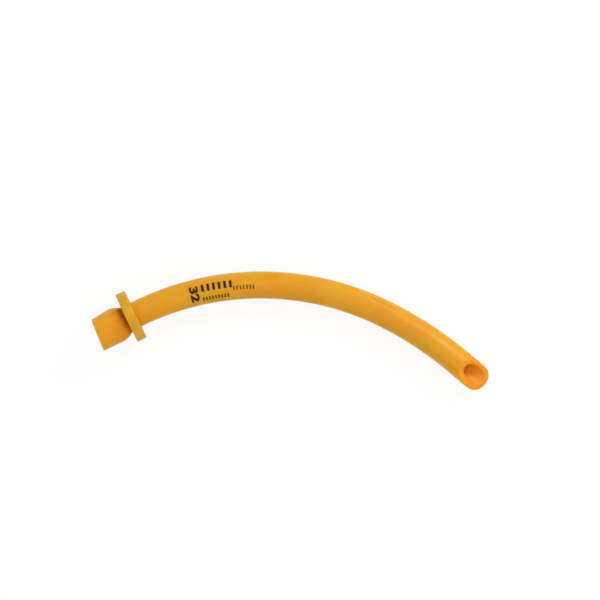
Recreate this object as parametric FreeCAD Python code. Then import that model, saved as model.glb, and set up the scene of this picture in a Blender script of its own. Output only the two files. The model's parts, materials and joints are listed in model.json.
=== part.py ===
import FreeCAD, Part
import math
import os

from FreeCAD import Placement, Rotation, Vector

# Driving sizes, in millimetres and degrees
tube_d = 10.667             # size 32 in French units, which are thirds of a millimetre
wall = 1.35                 # latex wall of the tube
socket_mouth_d = 13.25      # the socket is a little narrower outside at its mouth
socket_d = 14.05            # than at its shoulder
socket_bore_d = 10.8        # the mouth grips the stem of a connector
barrel_len = 9.6            # from the mouth to the shoulder
shoulder_len = 3.4          # the socket narrows to the tube over this length
mouth_skew_angle = 6.5      # the mouth is trimmed this far off square
mouth_edge = 0.25           # the trimmed edges are eased by this much

socket_angle = 28.8         # the socket points this far above the level of the whole airway
bend_r = 109.5              # centreline radius of the main bend
bend_len = 105.8            # along the centreline, from the socket's shoulder
tip_bend_r = 146.4          # then the tube is a little straighter
tip_len = 42.2              # along the centreline, from the main bend to the middle of the bevel
tip_straight = 8.0          # the last of that length is straight
tip_lumen_d = 6.6           # the lumen narrows at the tip
tip_taper = 4.0             # over this length
bevel_angle = 38.3          # between the slanted end and the tube's axis
tip_round = 0.75

flange_d = 20.4             # soft washer that stops at the nostril
flange_t = 3.7
flange_edge = 0.3           # the rims are eased by this much
flange_fit = 0.08           # all round between the flange's hole and the tube
flange_gap = 0.18           # between the socket's shoulder and the flange

# Sizes that follow
tube_r = tube_d / 2
lumen_r = tube_r - wall
tip_lumen_r = tip_lumen_d / 2
socket_len = barrel_len + shoulder_len
socket_mouth_r = socket_mouth_d / 2
socket_r = socket_d / 2
socket_bore_r = socket_bore_d / 2
flange_r = flange_d / 2
edge_of_tip = min(tip_round, 0.37 * (tube_r - tip_lumen_r))
spare = 2 * socket_r        # how far a cut or an uncut end runs past the part
belly_near_angle = 30.0     # the belly that touches the floor lies between these two,
belly_far_angle = 80.0      # in degrees round the bend from the flange

# The airway is drawn flat in the XY plane, with the centre of the main bend at the origin.
# Places round the bend are angles from +X, and the tube runs clockwise through them.
UP = Vector(0, 0, 1)
level_angle = 90.0          # the place where the bend runs level
bend_start = level_angle + socket_angle
bend_end = bend_start - math.degrees(bend_len / bend_r)
flange_at = bend_start - math.degrees((flange_gap + flange_t / 2) / bend_r)
flange_stop = bend_end + math.degrees(flange_t / 2 / bend_r)
tip_at = bend_end - math.degrees((tip_len - tip_straight) / tip_bend_r)


def outward(angle):
    return Vector(math.cos(math.radians(angle)), math.sin(math.radians(angle)), 0)


def onward(angle):
    # the way the tube runs, a quarter turn clockwise from outward
    return outward(angle).cross(UP)


mouth = outward(bend_start) * bend_r - onward(bend_start) * socket_len
flange_middle = outward(flange_at) * bend_r
flange_axis = onward(flange_at)
tip_centre = outward(bend_end) * (bend_r - tip_bend_r)
tip_start = tip_centre + outward(tip_at) * tip_bend_r
bevel_middle = tip_start + onward(tip_at) * tip_straight


def arc_of_tube(radius, centre, arc_r, start, end):
    circle = Part.makeCircle(radius, centre + outward(start) * arc_r, onward(start))
    return Part.Face(Part.Wire(circle)).revolve(centre, -UP, start - end)


def turned(place, direction, profile):
    # a straight piece, from its radii along the axis
    outline = [place + direction * along + UP * radius for along, radius in profile]
    face = Part.Face(Part.makePolygon(outline + outline[:1]))
    return face.revolve(place, direction, 360)


def half_space(place, normal):
    # a block on the side of the plane that the normal points to
    side = 4 * spare
    block = Part.makeBox(side, side, side, Vector(-side / 2, -side / 2, 0))
    block.Placement = Placement(place, Rotation(UP, normal))
    return block


def airway_body(mouth_r, shoulder_r, pipe_r, tip_r):
    # the socket, both bends and the straight tip as one solid, with uncut ends
    past_mouth_r = mouth_r - (shoulder_r - mouth_r) * spare / barrel_len
    barrel = [(-spare, 0), (-spare, past_mouth_r), (barrel_len, shoulder_r)]
    shoulder = [(socket_len, pipe_r), (socket_len, 0)]
    socket = turned(mouth, onward(bend_start), barrel + shoulder)
    bend = arc_of_tube(pipe_r, Vector(), bend_r, bend_start, bend_end)
    second_bend = arc_of_tube(pipe_r, tip_centre, tip_bend_r, bend_end, tip_at)
    past_tip = tip_straight + spare
    narrowing = [(0, 0), (0, pipe_r), (tip_taper, tip_r), (past_tip, tip_r), (past_tip, 0)]
    tip = turned(tip_start, onward(tip_at), narrowing)
    return socket.fuse([bend, second_bend, tip])


def edges_on(shape, place, normal):
    # the edges that lie in a plane
    on = []
    for edge in shape.Edges:
        points = edge.discretize(5)
        if all(abs((point - place).dot(normal)) < 1e-4 for point in points):
            on.append(edge)
    return on


def make_tube():
    outside = airway_body(socket_mouth_r, socket_r, tube_r, tube_r)
    body = outside.cut(airway_body(socket_bore_r, socket_bore_r, lumen_r, tip_lumen_r))
    # the mouth slants back towards the inside of the bend
    mouth_out = Rotation(UP, -mouth_skew_angle).multVec(-onward(bend_start))
    body = body.cut(half_space(mouth, mouth_out))
    # the bevel faces up, with its long lip at the tip's underside
    slant = math.radians(bevel_angle)
    bevel_out = onward(tip_at) * math.sin(slant) + UP * math.cos(slant)
    body = body.cut(half_space(bevel_middle, bevel_out))
    body = body.removeSplitter()
    body = body.makeChamfer(mouth_edge, edges_on(body, mouth, mouth_out))
    return body.makeFillet(edge_of_tip, edges_on(body, bevel_middle, bevel_out))


def make_flange():
    back = flange_middle - flange_axis * (flange_t / 2)
    flange = Part.makeCylinder(flange_r, flange_t, back, flange_axis)
    rims = [edge for edge in flange.Edges if edge.isClosed()]
    flange = flange.makeChamfer(flange_edge, rims)
    # the hole follows the bend, so that the flange slides along it
    reach = math.degrees(flange_t / bend_r)
    hole = arc_of_tube(tube_r + flange_fit, Vector(), bend_r, flange_at + reach, flange_at - reach)
    return flange.cut(hole)


# At rest the airway lies on the flange's rim and on one place of the tube's belly
def flange_depth(normal):
    # from the flange's middle down to its lowest point
    slope = normal.dot(flange_axis)
    return flange_r * math.sqrt(1 - slope ** 2) + (flange_t / 2 - flange_edge) * abs(slope)


def floor_normal(belly):
    # the tube's plane leans up from the belly towards the centre of the bend
    sweep = math.radians(flange_at - belly)
    depth = flange_r
    for step in range(6):
        lean = math.asin((depth - tube_r) / (bend_r * (1 - math.cos(sweep))))
        normal = UP * math.cos(lean) - outward(belly) * math.sin(lean)
        depth = flange_depth(normal)
    return normal


def off_balance(belly, mass_centre):
    # how far the mass lies to one side of the line between the two places that touch
    normal = floor_normal(belly)
    under_belly = outward(belly) * bend_r - normal * tube_r
    down = flange_axis * normal.dot(flange_axis) - normal
    under_flange = flange_middle + down.normalize() * flange_r
    return (under_flange - under_belly).cross(mass_centre - under_belly).dot(normal)


def resting_place(shapes):
    volume = sum(shape.Volume for shape in shapes)
    mass_centre = Vector()
    for shape in shapes:
        mass_centre += shape.CenterOfGravity * (shape.Volume / volume)
    near = flange_at - belly_near_angle
    far = flange_at - belly_far_angle
    for step in range(40):
        belly = (near + far) / 2
        if off_balance(belly, mass_centre) * off_balance(near, mass_centre) > 0:
            near = belly
        else:
            far = belly
    lean = Placement(Vector(), Rotation(floor_normal(belly), UP))
    leaning = Part.makeCompound([shape.transformed(lean.toMatrix()) for shape in shapes])
    box = leaning.optimalBoundingBox(False, False)
    base = Placement(Vector(-box.Center.x, -box.Center.y, -box.ZMin), Rotation())
    return base.multiply(lean), belly


parts = {"airway_tube": make_tube(), "flange_disc": make_flange()}
place, belly = resting_place(list(parts.values()))

os.makedirs("parts", exist_ok=True)
for name, shape in parts.items():
    placed = shape.transformed(place.toMatrix())
    placed.exportStep("parts/" + name + ".step")
    box = placed.optimalBoundingBox(False, False)
    print(name, placed.ShapeType, len(placed.Solids), placed.isValid(), round(placed.Volume, 1), box)

print("belly", round(flange_at - belly, 2), "degrees past the flange, floor normal", floor_normal(belly))
print("bend centre", place.multVec(Vector()))
print("slide axis", place.Rotation.multVec(-UP))
print("slide range", round(flange_at - flange_stop, 2), "degrees")
print("mouth", place.multVec(mouth), "out along", place.Rotation.multVec(-onward(bend_start)))
print("bevel", place.multVec(bevel_middle), "tube runs along", place.Rotation.multVec(onward(tip_at)))
print("flange", place.multVec(flange_middle), "along", place.Rotation.multVec(flange_axis))
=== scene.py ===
import json
import math

import bmesh
import bpy
from mathutils import Matrix, Vector


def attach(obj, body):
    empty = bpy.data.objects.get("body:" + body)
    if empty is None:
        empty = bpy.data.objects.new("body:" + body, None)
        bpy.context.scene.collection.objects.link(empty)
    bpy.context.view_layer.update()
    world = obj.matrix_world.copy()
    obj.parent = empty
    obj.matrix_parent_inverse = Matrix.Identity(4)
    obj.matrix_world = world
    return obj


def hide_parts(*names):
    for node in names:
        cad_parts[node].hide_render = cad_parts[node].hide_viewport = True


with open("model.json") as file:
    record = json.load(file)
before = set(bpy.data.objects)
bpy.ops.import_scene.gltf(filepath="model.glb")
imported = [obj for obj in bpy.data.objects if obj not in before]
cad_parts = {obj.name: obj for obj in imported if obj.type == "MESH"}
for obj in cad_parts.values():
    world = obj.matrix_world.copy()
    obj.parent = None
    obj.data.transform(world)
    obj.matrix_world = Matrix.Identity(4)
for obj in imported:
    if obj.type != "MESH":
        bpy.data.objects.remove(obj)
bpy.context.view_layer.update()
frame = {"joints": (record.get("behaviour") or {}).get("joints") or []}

mm = 0.001
onPlaneSlack = 0.002 * mm
mergeDistance = 0.001 * mm
smoothAngle = 35  # edges that turn by more than this stay sharp

# The airway is modelled flat, with the centre of its main bend at the origin,
# and leant into place at the end. Places round the bend are angles from +X.
slideJoint = frame["joints"][0]
bendNormal = -Vector(slideJoint["axis"])
leaning = Vector((0, 0, 1)).rotation_difference(bendNormal)
bendPlace = Matrix.Translation(Vector(slideJoint["pos_m"])) @ leaning.to_matrix().to_4x4()


def outward(angle):
    return Vector((math.cos(math.radians(angle)), math.sin(math.radians(angle)), 0))


def onward(angle):
    return outward(angle - 90)  # the way the tube runs, from the socket to the tip


def turned(direction, angle):
    return Matrix.Rotation(math.radians(angle), 3, "Z") @ direction


def facing(direction):
    return Vector((0, 0, 1)).rotation_difference(direction).to_euler()


# One call adds a node, sets its sockets and joins its links
def addNode(tree, kind, settings=None, links=None, **properties):
    node = tree.nodes.new(kind)
    for key, value in properties.items():
        setattr(node, key, value)
    for key, value in (settings or {}).items():
        node.inputs[key].default_value = value
    for key, source in (links or {}).items():
        tree.links.new(source, node.inputs[key])
    return node


def linear(code):
    parts = [int(code[i:i + 2], 16) / 255 for i in (1, 3, 5)]
    return [p / 12.92 if p <= 0.04045 else ((p + 0.055) / 1.055) ** 2.4 for p in parts] + [1.0]


def newMaterial(name):
    material = bpy.data.materials.new(name)
    material.use_nodes = True
    tree = material.node_tree
    tree.nodes.clear()
    return material, tree


# Selecting in edit mode by place, as a click in the viewport would
def pick(kind, *tests):
    bpy.ops.mesh.select_mode(type=kind)
    bpy.ops.mesh.select_all(action="DESELECT")
    mesh = bmesh.from_edit_mesh(bpy.context.object.data)
    found = {"VERT": mesh.verts, "EDGE": mesh.edges, "FACE": mesh.faces}[kind]
    for item in found:
        points = [item.co] if kind == "VERT" else [vert.co for vert in item.verts]
        item.select_set(any(all(test(point) for point in points) for test in tests))
    mesh.select_flush_mode()
    bmesh.update_edit_mesh(bpy.context.object.data)


def onPlane(place, normal):
    return lambda point: abs((point - place).dot(normal)) < onPlaneSlack


def editMode():
    bpy.ops.object.mode_set(mode="EDIT")


def objectMode():
    bpy.ops.object.mode_set(mode="OBJECT")


def applyModifier(kind, **settings):
    modifier = bpy.context.object.modifiers.new(kind.title(), kind)
    for key, value in settings.items():
        setattr(modifier, key, value)
    bpy.ops.object.modifier_apply(modifier=modifier.name)


def settlePlace():
    bpy.ops.object.transform_apply(location=True, rotation=True, scale=True)


# Shades the piece and turns it from the flat of the bend to where the airway lies
def leanPiece():
    bpy.ops.object.shade_smooth_by_angle(angle=math.radians(smoothAngle))
    bpy.context.object.matrix_world = bendPlace
    settlePlace()


def finishPiece(name, material, body):
    piece = bpy.context.object
    piece.name = name
    piece.data.name = name
    piece.data.materials.clear()
    piece.data.materials.append(material)
    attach(piece, body)
    print("made", name, len(piece.data.polygons), "faces")
    return piece


# The camera looks straight down on the plane of the bend
view = {
    "pixel": 0.3929 * mm, "imageWidth": 600, "distance": 3000 * mm,
    "aimX": 15.31 * mm, "aimY": 103.59 * mm, "sensor": 36,
}


def makeCamera():
    place = bendPlace @ Vector((view["aimX"], view["aimY"], view["distance"]))
    bpy.ops.object.camera_add(location=place, rotation=leaning.to_euler())
    camera = bpy.context.object
    camera.data.sensor_width = view["sensor"]
    camera.data.lens = view["sensor"] * view["distance"] / (view["pixel"] * view["imageWidth"])
    bpy.context.scene.camera = camera
    bpy.context.scene.view_settings.view_transform = "Standard"
    print("camera set")


# A white sweep that keeps a faint shadow, a lamp from the upper right and an even sky
studio = {
    "floorSize": 6.0, "floorColour": "#D8D8D6", "floorGlow": 0.85, "floorShade": 0.20,
    "lampWay": (0.565, 0.565, 0.60), "lampDistance": 1.1, "lampSize": 0.5, "lampPower": 4.05,
    "sky": 0.71,
}


# 1 for the rays that show the background itself, and 0 for those that light the airway
def backgroundRays(tree):
    path = addNode(tree, "ShaderNodeLightPath").outputs
    seen = addNode(tree, "ShaderNodeMath", links={0: path["Is Camera Ray"], 1: path["Is Glossy Ray"]},
                   operation="MAXIMUM").outputs[0]
    return addNode(tree, "ShaderNodeMath", links={0: seen, 1: path["Is Transmission Ray"]},
                   operation="MAXIMUM").outputs[0]


def makeStudio():
    bpy.ops.object.select_all(action="DESELECT")
    bpy.ops.mesh.primitive_grid_add(x_subdivisions=4, y_subdivisions=4, size=studio["floorSize"])
    floor = bpy.context.object
    floor.name = "floor"
    material, tree = newMaterial("paperSweep")
    seen = backgroundRays(tree)
    glow = addNode(tree, "ShaderNodeEmission", {
        "Color": linear("#FFFFFF"), "Strength": studio["floorGlow"],
    })
    shade = addNode(tree, "ShaderNodeBsdfDiffuse", {"Color": [studio["floorShade"]] * 3 + [1.0]})
    both = addNode(tree, "ShaderNodeAddShader", links={0: glow.outputs[0], 1: shade.outputs[0]})
    plain = addNode(tree, "ShaderNodeBsdfDiffuse", {"Color": linear(studio["floorColour"])})
    mixed = addNode(tree, "ShaderNodeMixShader", links={
        0: seen, 1: plain.outputs[0], 2: both.outputs[0],
    })
    addNode(tree, "ShaderNodeOutputMaterial", links={"Surface": mixed.outputs[0]})
    floor.data.materials.append(material)

    world = bpy.data.worlds.new("studio")
    world.use_nodes = True
    tree = world.node_tree
    tree.nodes.clear()
    seen = backgroundRays(tree)
    sky = addNode(tree, "ShaderNodeBackground", {
        "Color": linear("#FFFFFF"), "Strength": studio["sky"],
    })
    white = addNode(tree, "ShaderNodeBackground", {"Color": linear("#FFFFFF"), "Strength": 1.0})
    mixed = addNode(tree, "ShaderNodeMixShader", links={
        0: seen, 1: sky.outputs[0], 2: white.outputs[0],
    })
    addNode(tree, "ShaderNodeOutputWorld", links={"Surface": mixed.outputs[0]})
    bpy.context.scene.world = world

    aim = bendPlace @ Vector((view["aimX"], view["aimY"], 0))
    way = leaning @ Vector(studio["lampWay"]).normalized()
    bpy.ops.object.light_add(type="AREA", location=aim + way * studio["lampDistance"],
                             rotation=facing(way))
    lamp = bpy.context.object
    lamp.data.shape = "DISK"
    lamp.data.size = studio["lampSize"]
    lamp.data.energy = studio["lampPower"]
    print("studio set")


# Natural rubber latex, dipped on a former and cured: amber all through and a little see-through,
# with a satin skin, faint clouds, streaks along the tube where the dip drained, and fine specks.
# In the neck behind the flange the colour is painted darker and browner, as painted shade for the
# flange's shadow there. The lumen's wall is plain and less see-through, and its colour is painted
# redder, as painted light for the warm light that bounces round the bore.
# "Spread" is the part of a noise's range that a pattern takes, and "show" is how strong it gets.
latex = {
    "amber": "#FFAE0C", "deep": "#FBA408", "pale": "#FFB91C", "speck": "#CC8A12",
    "cloudSize": 11 * mm, "cloudSpread": (0.38, 0.66),
    "streakLength": 30 * mm, "streakWidth": 0.9 * mm, "streakSpread": (0.5, 0.75), "streakShow": 0.45,
    "speckSize": 0.55 * mm, "speckSpread": (0.70, 0.78), "speckShow": 0.5,
    # painted shade of the flange on the neck: its darker brown, and where it starts, is full and ends
    "paintedNeckShade": "#BC6412", "neckShadeStart": -2.7 * mm, "neckShadeFull": -0.5 * mm, "neckShadeEnd": 2.5 * mm,
    "neckShadeWeak": 0.6, "neckShadeWeakOut": -5 * mm, "neckShadeFullOut": -1.5 * mm,
    # the lumen's colour is painted redder, as painted light for the warm light that bounces round the
    # bore
    "lumen": "#FF9C14", "lumenRadius": 4.02 * mm, "rimRadius": 4.3 * mm,
    "roughness": (0.35, 0.47), "roughSpread": (0.3, 0.7), "ior": 1.52, "specular": 0.26,
    "seeThrough": 2.4 * mm, "seeThroughByColour": (1.0, 0.3, 0.06),
    "skinSize": 0.35 * mm, "streakHeight": 0.5, "bumpStrength": 0.25, "bumpHeight": 0.02 * mm,
}


def makeLatex():
    material, tree = newMaterial("dippedLatex")
    place = addNode(tree, "ShaderNodeTexCoord").outputs["Object"]
    # along the tube, out from the bend's centreline and up from its plane
    tubePlace = addNode(tree, "ShaderNodeAttribute", attribute_name="tubePlace").outputs["Vector"]
    cloud = addNode(tree, "ShaderNodeTexNoise", {
        "Scale": 1 / latex["cloudSize"], "Detail": 2.0, "Roughness": 0.5,
    }, {"Vector": place}).outputs["Fac"]
    stretched = addNode(tree, "ShaderNodeMapping", {
        "Scale": (1 / latex["streakLength"], 1 / latex["streakWidth"], 1 / latex["streakWidth"]),
    }, {"Vector": tubePlace}).outputs["Vector"]
    streak = addNode(tree, "ShaderNodeTexNoise", {"Scale": 1.0, "Detail": 3.0, "Roughness": 0.55},
                     {"Vector": stretched}).outputs["Fac"]
    speckle = addNode(tree, "ShaderNodeTexNoise", {"Scale": 1 / latex["speckSize"], "Detail": 1.0},
                      {"Vector": place}).outputs["Fac"]
    skin = addNode(tree, "ShaderNodeTexNoise", {"Scale": 1 / latex["skinSize"], "Detail": 2.0},
                   {"Vector": place}).outputs["Fac"]

    cloudy = addNode(tree, "ShaderNodeMapRange", {
        "From Min": latex["cloudSpread"][0], "From Max": latex["cloudSpread"][1],
    }, {"Value": cloud}).outputs[0]
    base = addNode(tree, "ShaderNodeMix", {"A": linear(latex["amber"]), "B": linear(latex["deep"])},
                   {"Factor": cloudy}, data_type="RGBA").outputs["Result"]
    streaky = addNode(tree, "ShaderNodeMapRange", {
        "From Min": latex["streakSpread"][0], "From Max": latex["streakSpread"][1],
        "To Max": latex["streakShow"],
    }, {"Value": streak}).outputs[0]
    base = addNode(tree, "ShaderNodeMix", {"B": linear(latex["pale"])}, {"Factor": streaky, "A": base},
                   data_type="RGBA").outputs["Result"]
    speckled = addNode(tree, "ShaderNodeMapRange", {
        "From Min": latex["speckSpread"][0], "From Max": latex["speckSpread"][1],
        "To Max": latex["speckShow"],
    }, {"Value": speckle}).outputs[0]
    base = addNode(tree, "ShaderNodeMix", {"B": linear(latex["speck"])}, {"Factor": speckled, "A": base},
                   data_type="RGBA").outputs["Result"]

    # painted shade of the flange on the neck: it deepens towards the flange, ends under it, and is
    # weaker on the inside of the bend
    part = addNode(tree, "ShaderNodeSeparateXYZ", links={0: tubePlace}).outputs
    deeper = addNode(tree, "ShaderNodeMapRange", {
        "From Min": latex["neckShadeStart"], "From Max": latex["neckShadeFull"],
    }, {"Value": part["X"]}, interpolation_type="SMOOTHSTEP").outputs[0]
    clearer = addNode(tree, "ShaderNodeMapRange", {"From Min": latex["neckShadeEnd"], "From Max": 0},
                      {"Value": part["X"]}, interpolation_type="SMOOTHSTEP").outputs[0]
    uneven = addNode(tree, "ShaderNodeMapRange", {
        "From Min": latex["neckShadeWeakOut"], "From Max": latex["neckShadeFullOut"],
        "To Min": latex["neckShadeWeak"],
    }, {"Value": part["Y"]}).outputs[0]
    paintedNeckShade = addNode(tree, "ShaderNodeMath", links={0: deeper, 1: clearer},
                     operation="MULTIPLY").outputs[0]
    paintedNeckShade = addNode(tree, "ShaderNodeMath", links={0: paintedNeckShade, 1: uneven},
                     operation="MULTIPLY").outputs[0]
    # painted shade: the neck's colour is mixed towards a darker brown where the flange shades it
    base = addNode(tree, "ShaderNodeMix", {"B": linear(latex["paintedNeckShade"])}, {"Factor": paintedNeckShade, "A": base},
                   data_type="RGBA").outputs["Result"]

    # 0 on the lumen's wall and 1 outside, from the distance to the centreline
    acrossTube = addNode(tree, "ShaderNodeVectorMath", {1: (0, 1, 1)}, {0: tubePlace},
                         operation="MULTIPLY").outputs[0]
    fromMiddle = addNode(tree, "ShaderNodeVectorMath", links={0: acrossTube},
                         operation="LENGTH").outputs["Value"]
    outside = addNode(tree, "ShaderNodeMapRange", {
        "From Min": latex["lumenRadius"], "From Max": latex["rimRadius"],
    }, {"Value": fromMiddle}).outputs[0]
    # painted light: the lumen's wall is mixed to a redder colour for the warm light that bounces round
    # the bore
    base = addNode(tree, "ShaderNodeMix", {"A": linear(latex["lumen"])}, {"Factor": outside, "B": base},
                   data_type="RGBA").outputs["Result"]

    rough = addNode(tree, "ShaderNodeMapRange", {
        "From Min": latex["roughSpread"][0], "From Max": latex["roughSpread"][1],
        "To Min": latex["roughness"][0], "To Max": latex["roughness"][1],
    }, {"Value": cloud}).outputs[0]
    height = addNode(tree, "ShaderNodeMath", {1: latex["streakHeight"]}, {0: streak, 2: skin},
                     operation="MULTIPLY_ADD").outputs[0]
    bump = addNode(tree, "ShaderNodeBump", {
        "Strength": latex["bumpStrength"], "Distance": latex["bumpHeight"],
    }, {"Height": height}).outputs["Normal"]
    shader = addNode(tree, "ShaderNodeBsdfPrincipled", {
        "IOR": latex["ior"], "Specular IOR Level": latex["specular"],
        "Subsurface Radius": latex["seeThroughByColour"], "Subsurface Scale": latex["seeThrough"],
    }, {"Base Color": base, "Roughness": rough, "Normal": bump, "Subsurface Weight": outside})
    addNode(tree, "ShaderNodeOutputMaterial", links={"Surface": shader.outputs["BSDF"]})
    return material


# Moulded soft rubber, more olive than the latex and matt, faintly clouded, with a fine grain
rubber = {
    "olive": "#E8AF29", "deep": "#DDA422", "cloudSize": 6 * mm, "cloudSpread": (0.36, 0.68),
    "roughness": (0.45, 0.58), "roughSpread": (0.3, 0.7), "ior": 1.52, "specular": 0.28,
    "seeThrough": 0.9 * mm, "seeThroughShare": 0.25, "seeThroughByColour": (1.0, 0.6, 0.2),
    "grainSize": 0.25 * mm, "bumpStrength": 0.35, "bumpHeight": 0.02 * mm,
}


def makeRubber():
    material, tree = newMaterial("mouldedRubber")
    place = addNode(tree, "ShaderNodeTexCoord").outputs["Object"]
    cloud = addNode(tree, "ShaderNodeTexNoise", {"Scale": 1 / rubber["cloudSize"], "Detail": 3.0},
                    {"Vector": place}).outputs["Fac"]
    grain = addNode(tree, "ShaderNodeTexNoise", {"Scale": 1 / rubber["grainSize"], "Detail": 2.0},
                    {"Vector": place}).outputs["Fac"]
    cloudy = addNode(tree, "ShaderNodeMapRange", {
        "From Min": rubber["cloudSpread"][0], "From Max": rubber["cloudSpread"][1],
    }, {"Value": cloud}).outputs[0]
    base = addNode(tree, "ShaderNodeMix", {"A": linear(rubber["olive"]), "B": linear(rubber["deep"])},
                   {"Factor": cloudy}, data_type="RGBA").outputs["Result"]
    rough = addNode(tree, "ShaderNodeMapRange", {
        "From Min": rubber["roughSpread"][0], "From Max": rubber["roughSpread"][1],
        "To Min": rubber["roughness"][0], "To Max": rubber["roughness"][1],
    }, {"Value": cloud}).outputs[0]
    bump = addNode(tree, "ShaderNodeBump", {
        "Strength": rubber["bumpStrength"], "Distance": rubber["bumpHeight"],
    }, {"Height": grain}).outputs["Normal"]
    shader = addNode(tree, "ShaderNodeBsdfPrincipled", {
        "IOR": rubber["ior"], "Specular IOR Level": rubber["specular"],
        "Subsurface Weight": rubber["seeThroughShare"],
        "Subsurface Radius": rubber["seeThroughByColour"], "Subsurface Scale": rubber["seeThrough"],
    }, {"Base Color": base, "Roughness": rough, "Normal": bump})
    addNode(tree, "ShaderNodeOutputMaterial", links={"Surface": shader.outputs["BSDF"]})
    return material


# Pad-printed ink: a thin matt film, a little patchy where the pad pressed lightly
ink = {
    "dark": "#4A1606", "thin": "#6E2C0E", "patchSize": 0.5 * mm, "patchSpread": (0.45, 0.75),
    "roughness": 0.7, "ior": 1.48, "specular": 0.12,
}


def makeInk():
    material, tree = newMaterial("padPrintInk")
    place = addNode(tree, "ShaderNodeTexCoord").outputs["Object"]
    patch = addNode(tree, "ShaderNodeTexNoise", {"Scale": 1 / ink["patchSize"], "Detail": 2.0},
                    {"Vector": place}).outputs["Fac"]
    patchy = addNode(tree, "ShaderNodeMapRange", {
        "From Min": ink["patchSpread"][0], "From Max": ink["patchSpread"][1],
    }, {"Value": patch}).outputs[0]
    base = addNode(tree, "ShaderNodeMix", {"A": linear(ink["dark"]), "B": linear(ink["thin"])},
                   {"Factor": patchy}, data_type="RGBA").outputs["Result"]
    shader = addNode(tree, "ShaderNodeBsdfPrincipled", {
        "IOR": ink["ior"], "Specular IOR Level": ink["specular"], "Roughness": ink["roughness"],
    }, {"Base Color": base})
    addNode(tree, "ShaderNodeOutputMaterial", links={"Surface": shader.outputs["BSDF"]})
    return material


# The airway: a socket, a shoulder, the main bend and a slightly straighter stretch to the slanted
# tip. "outside" and "inside" are the radii at the mouth, the shoulder, along the tube and at the tip.
# "swell" is how thick the tube is at distances from the shoulder, as a share of those radii.
# "mouthEase" and "tipEase" give the width of the eased outer edge and its number of faces, and then
# those of the inner one. What starts with "lip" or "lumen" shapes the slanted tip.
airway = {
    "outside": (6.55 * mm, 7.1 * mm, 5.3335 * mm, 5.3335 * mm),
    "inside": (5.4 * mm, 5.4 * mm, 3.9835 * mm, 3.15 * mm),
    "swell": ((0, 0.957), (12 * mm, 0.97), (20 * mm, 0.98), (40 * mm, 1), (104 * mm, 1),
              (145 * mm, 1.03)),
    "barrel": 9.6 * mm, "shoulder": 3.4 * mm, "mouthSkew": 6.5, "socketAngle": 28.8,
    "bendRadius": 109.5 * mm, "bendLength": 105.8 * mm, "tipBendRadius": 146.4 * mm,
    "tipLength": 42.6 * mm, "tipStraight": 8 * mm, "tipTaper": 4 * mm, "bevelAngle": 38.3,
    "sides": 72, "step": 1.6 * mm, "spare": 8 * mm,
    "neckEase": 1.1 * mm, "cornerEase": 1.8 * mm, "easeFaces": 6,
    "mouthEase": ((0.25 * mm, 3), (0.25 * mm, 3)), "tipEase": ((1.1 * mm, 8), (0.45 * mm, 3)),
    "lipReach": 6 * mm, "lipPress": 0.63 * mm, "lipFull": 3 * mm, "lipFlare": 0.08,
    "lumenReach": 7.2 * mm, "lumenOut": 0.35 * mm, "lumenBack": 0.4 * mm, "lumenStretch": 0.09,
}
bendStart = 90 + airway["socketAngle"]  # the bend runs level at 90
bendEnd = bendStart - math.degrees(airway["bendLength"] / airway["bendRadius"])
tipAt = bendEnd - math.degrees((airway["tipLength"] - airway["tipStraight"]) / airway["tipBendRadius"])
tipCentre = outward(bendEnd) * (airway["bendRadius"] - airway["tipBendRadius"])
shoulderEnd = outward(bendStart) * airway["bendRadius"]
tipStart = tipCentre + outward(tipAt) * airway["tipBendRadius"]


def spinRing(sweep, centre, steps):
    bpy.ops.mesh.spin(steps=steps, angle=math.radians(sweep), center=centre, axis=(0, 0, 1))


# The open end runs on by one more ring, which is then made wider or narrower
def runOn(place, run, widen):
    bpy.ops.mesh.extrude_edges_move(TRANSFORM_OT_translate={"value": run})
    bpy.ops.transform.resize(value=(widen, widen, widen), center_override=place + run)
    return place + run


# How far along the tube a point lies, the way out from the bend there, and how far out it is
def followTube(point):
    before = (point - shoulderEnd).dot(onward(bendStart))
    if before < 0:
        return before, outward(bendStart), (point - shoulderEnd).dot(outward(bendStart))
    angle = math.degrees(math.atan2(point.y, point.x))
    if angle > bendEnd:
        along = math.radians(bendStart - angle) * airway["bendRadius"]
        return along, outward(angle), point.to_2d().length - airway["bendRadius"]
    reach = point - tipCentre
    angle = math.degrees(math.atan2(reach.y, reach.x))
    if angle > tipAt:
        along = airway["bendLength"] + math.radians(bendEnd - angle) * airway["tipBendRadius"]
        return along, outward(angle), reach.to_2d().length - airway["tipBendRadius"]
    past = (point - tipStart).dot(onward(tipAt))
    along = airway["bendLength"] + airway["tipLength"] - airway["tipStraight"] + past
    return along, outward(tipAt), (point - tipStart).dot(outward(tipAt))


# The dipped tube is a little thinner by the flange and thicker at the tip
def swellTube():
    mesh = bmesh.from_edit_mesh(bpy.context.object.data)
    stretches = list(zip(airway["swell"], airway["swell"][1:]))
    for vert in mesh.verts:
        along, way, out = followTube(vert.co)
        if along < -onPlaneSlack:
            continue
        along = max(along, 0)
        (start, thin), (end, thick) = [stretch for stretch in stretches if stretch[0][0] <= along][-1]
        size = thin + (thick - thin) * min((along - start) / (end - start), 1)
        vert.co += (way * out + Vector((0, 0, vert.co.z))) * (size - 1)
    bmesh.update_edit_mesh(bpy.context.object.data)


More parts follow.
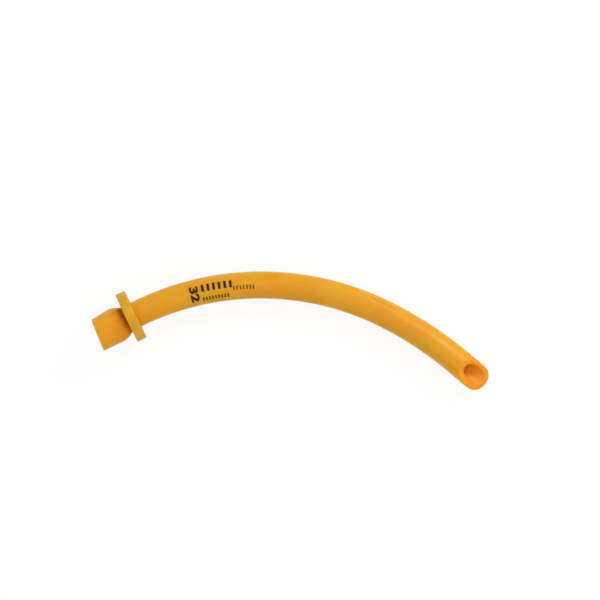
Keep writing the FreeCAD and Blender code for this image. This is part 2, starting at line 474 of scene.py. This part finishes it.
def makeShell(mouthRadius, shoulderRadius, tubeRadius, tipRadius):
    bpy.ops.object.select_all(action="DESELECT")
    back = -onward(bendStart)
    bpy.ops.mesh.primitive_circle_add(vertices=airway["sides"], radius=tubeRadius,
                                      location=shoulderEnd, rotation=facing(-back))
    settlePlace()
    editMode()
    bpy.ops.mesh.select_all(action="SELECT")
    spinRing(bendStart - bendEnd, (0, 0, 0), round(airway["bendLength"] / airway["step"]))
    taper = math.degrees(airway["tipTaper"] / airway["tipBendRadius"])
    tipSteps = (airway["tipLength"] - airway["tipStraight"] - airway["tipTaper"]) / airway["step"]
    spinRing(bendEnd - tipAt - taper, tipCentre, round(tipSteps))
    spinRing(taper, tipCentre, 1)
    narrow = tipRadius / tubeRadius
    bpy.ops.transform.resize(value=(narrow, narrow, narrow), center_override=tipStart)
    # one straight run carries the tube past the slanted cut, so that the cut's faces are clean
    runOn(tipStart, onward(tipAt) * (airway["tipStraight"] + 2 * airway["spare"]), 1)
    # the first ring widens to the socket and runs back past the mouth
    pick("VERT", onPlane(shoulderEnd, back))
    corner = runOn(shoulderEnd, back * airway["shoulder"], shoulderRadius / tubeRadius)
    flare = (mouthRadius - shoulderRadius) * (airway["barrel"] + airway["spare"]) / airway["barrel"]
    runOn(corner, back * (airway["barrel"] + airway["spare"]), 1 + flare / shoulderRadius)
    swellTube()
    for place, ease in ((shoulderEnd, airway["neckEase"]), (corner, airway["cornerEase"])):
        pick("EDGE", onPlane(place, back))
        bpy.ops.mesh.bevel(offset=ease, segments=airway["easeFaces"], affect="EDGES")
    objectMode()
    return bpy.context.object


# The wall's flat cut at an end is closed, and its outside and inside edges are eased.
# Faces of the same width make the ease long at a thin lip and short at a blunt one.
def trimEnd(place, run, normal, middleRadius, eases):
    bpy.ops.mesh.select_all(action="SELECT")
    bpy.ops.mesh.bisect(plane_co=place, plane_no=normal, clear_outer=True)
    pick("EDGE", onPlane(place, normal))
    bpy.ops.mesh.bridge_edge_loops()
    inCut = onPlane(place, normal)
    for side, (width, faces) in zip((1, -1), eases):
        pick("EDGE", lambda point: inCut(point) and
             side * ((point - place).cross(run).length - middleRadius) > 0)
        bpy.ops.mesh.bevel(affect="EDGES", offset=width, segments=faces, offset_type="WIDTH")


# The long lip is fuller and blunter than a flat cut leaves it, and the lumen comes out
# a little to the outside of the bend
def shapeLip(place, run, out, middleRadius):
    mesh = bmesh.from_edit_mesh(bpy.context.object.data)
    for vert in mesh.verts:
        offset = vert.co - place
        along = offset.dot(run)
        if along > 0:
            share = min(along / airway["lipFull"], 1)
            smooth = share * share * (3 - 2 * share)
            vert.co += out * offset.dot(out) * airway["lipFlare"] * smooth
            vert.co -= run * airway["lipPress"] * (along / airway["lipReach"]) ** 3
        if along > -airway["lumenReach"] and offset.cross(run).length < middleRadius:
            vert.co += out * airway["lumenOut"]
            vert.co += run * (along * airway["lumenStretch"] - airway["lumenBack"])
    bmesh.update_edit_mesh(bpy.context.object.data)


def makeAirway():
    outer = makeShell(*airway["outside"])
    makeShell(*airway["inside"])
    editMode()
    bpy.ops.mesh.select_all(action="SELECT")
    bpy.ops.mesh.flip_normals()
    objectMode()
    outer.select_set(True)
    bpy.ops.object.join()
    editMode()
    run = onward(bendStart)
    mouth = shoulderEnd - run * (airway["shoulder"] + airway["barrel"])
    middleRadius = (airway["outside"][0] + airway["inside"][0]) / 2
    trimEnd(mouth, run, turned(-run, -airway["mouthSkew"]), middleRadius, airway["mouthEase"])
    run = onward(tipAt)
    tip = tipStart + run * airway["tipStraight"]
    slant = math.radians(airway["bevelAngle"])
    middleRadius = (airway["outside"][3] + airway["inside"][3]) / 2
    cutWay = run * math.sin(slant) + Vector((0, 0, math.cos(slant)))
    trimEnd(tip, run, cutWay, middleRadius, airway["tipEase"])
    shapeLip(tip, run, outward(tipAt), middleRadius)
    bpy.ops.mesh.select_all(action="SELECT")
    bpy.ops.mesh.remove_doubles(threshold=mergeDistance)
    bpy.ops.mesh.normals_make_consistent(inside=False)
    objectMode()

    mesh = bpy.context.object.data
    place = mesh.attributes.new("tubePlace", "FLOAT_VECTOR", "POINT")
    for index, vertex in enumerate(mesh.vertices):
        along, way, out = followTube(vertex.co)
        place.data[index].vector = (along, out, vertex.co.z)
    leanPiece()
    piece = finishPiece("airwayTube", makeLatex(), "airway")
    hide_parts("airway_tube")
    return piece


# The flange: a soft washer that can be slid along the tube, here against the shoulder.
# It leans a little on the tube, and its rim is punched a little off the hole's centre.
flange = {
    "radius": 10.2 * mm, "thickness": 3.9 * mm, "gap": 0.12 * mm, "holeRadius": 5.46 * mm,
    "lean": 2.1, "offCentre": 0.3 * mm, "sides": 96, "rimEase": 0.3 * mm, "easeFaces": 4,
}


def makeFlange():
    bpy.ops.object.select_all(action="DESELECT")
    reach = flange["gap"] + flange["thickness"] / 2
    flangeAt = bendStart - math.degrees(reach / airway["bendRadius"])
    middle = outward(flangeAt) * airway["bendRadius"]
    axis = turned(onward(flangeAt), -flange["lean"])
    shift = turned(outward(flangeAt), -flange["lean"]) * flange["offCentre"]
    bpy.ops.mesh.primitive_cylinder_add(vertices=flange["sides"], radius=flange["radius"],
                                        depth=flange["thickness"], location=middle + shift,
                                        rotation=facing(axis))
    settlePlace()
    editMode()
    half = axis * (flange["thickness"] / 2)
    pick("FACE", onPlane(middle + half, axis), onPlane(middle - half, axis))
    bpy.ops.mesh.inset(thickness=flange["radius"] - flange["holeRadius"], use_even_offset=True)
    bpy.ops.transform.translate(value=-shift)
    bpy.ops.mesh.bridge_edge_loops()
    for place in (middle + half, middle - half):
        pick("FACE", onPlane(place, axis))
        bpy.ops.mesh.region_to_loop()
        bpy.ops.mesh.bevel(offset=flange["rimEase"], segments=flange["easeFaces"], affect="EDGES")
    bpy.ops.mesh.select_all(action="SELECT")
    bpy.ops.mesh.normals_make_consistent(inside=False)
    objectMode()
    leanPiece()
    piece = finishPiece("slidingFlange", makeRubber(), "flange")
    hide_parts("flange_disc")


# The print: the plain size number turned to read round the tube, and rows of plain marks.
# Each row runs along the bend from "start", "rise" out from the centreline. The print is laid out
# flat at "height" above the bend's plane, sliced, and then pressed down on the tube.
sizePrint = {
    "number": "32", "at": 28.6 * mm, "rise": -0.6 * mm, "across": 6.2 * mm, "tall": 3.4 * mm,
    "weight": 0.04,
    "rows": (
        {"start": 32.1 * mm, "pitch": 2.2 * mm, "count": 6, "rise": 1.1 * mm,
         "tall": 2.8 * mm, "wide": 1.05 * mm},
        {"start": 31.8 * mm, "pitch": 1.25 * mm, "count": 9, "rise": -3.2 * mm,
         "tall": 1.4 * mm, "wide": 0.5 * mm},
        {"start": 44.3 * mm, "pitch": 1.3 * mm, "count": 7, "rise": -0.65 * mm,
         "tall": 1.7 * mm, "wide": 0.42 * mm},
    ),
    "cornerEase": 0.1 * mm, "cornerFaces": 3, "height": 8 * mm,
    "slice": 0.3 * mm, "sliceAt": 39 * mm, "sliceAcross": 6 * mm, "sliceAlong": 15 * mm,
    "film": 0.06 * mm, "proud": 0.03 * mm,
}


def onBend(along, rise):
    angle = bendStart - math.degrees(along / airway["bendRadius"])
    place = outward(angle) * (airway["bendRadius"] + rise)
    return angle, Vector((place.x, place.y, sizePrint["height"]))


def makeNumber():
    bpy.ops.object.select_all(action="DESELECT")
    bpy.ops.object.text_add()
    text = bpy.context.object.data
    text.body = sizePrint["number"]
    text.offset = sizePrint["weight"]
    bpy.ops.object.convert(target="MESH")
    bpy.ops.object.origin_set(type="ORIGIN_GEOMETRY", center="BOUNDS")
    piece = bpy.context.object
    angle, place = onBend(sizePrint["at"], sizePrint["rise"])
    piece.scale = (sizePrint["across"] / piece.dimensions.x, sizePrint["tall"] / piece.dimensions.y, 1)
    piece.rotation_euler = (0, 0, math.radians(angle - 180))
    piece.location = place
    settlePlace()
    return piece


def makeMark(row, number):
    bpy.ops.object.select_all(action="DESELECT")
    angle, place = onBend(row["start"] + row["pitch"] * number, row["rise"])
    bpy.ops.mesh.primitive_plane_add(size=1)
    bpy.context.object.scale = (row["tall"], row["wide"], 1)
    settlePlace()
    editMode()
    bpy.ops.mesh.bevel(offset=sizePrint["cornerEase"], segments=sizePrint["cornerFaces"],
                       affect="VERTICES")
    objectMode()
    bpy.context.object.rotation_euler = (0, 0, math.radians(angle))
    bpy.context.object.location = place
    settlePlace()
    return bpy.context.object


def makePrint(tube):
    pieces = [makeNumber()]
    for row in sizePrint["rows"]:
        pieces += [makeMark(row, number) for number in range(row["count"])]
    for piece in pieces:
        piece.select_set(True)
    bpy.context.view_layer.objects.active = pieces[0]
    bpy.ops.object.join()
    editMode()
    # sliced fine, so that it can follow the round of the tube
    angle, middle = onBend(sizePrint["sliceAt"], 0)
    for way, reach in ((outward(angle), sizePrint["sliceAcross"]),
                       (onward(angle), sizePrint["sliceAlong"])):
        for cut in range(int(2 * reach / sizePrint["slice"])):
            place = middle + way * (cut * sizePrint["slice"] - reach)
            bpy.ops.mesh.select_all(action="SELECT")
            bpy.ops.mesh.bisect(plane_co=place, plane_no=way)
    objectMode()
    bpy.context.object.matrix_world = bendPlace
    bpy.context.view_layer.update()
    applyModifier("SHRINKWRAP", target=tube, wrap_method="PROJECT", use_project_z=True,
                  use_positive_direction=False, use_negative_direction=True, offset=sizePrint["proud"])
    settlePlace()
    applyModifier("SOLIDIFY", thickness=sizePrint["film"], offset=-1)
    finishPiece("sizePrint", makeInk(), "airway")


makeCamera()
makeStudio()
tube = makeAirway()
makeFlange()
makePrint(tube)
print("pieces done")
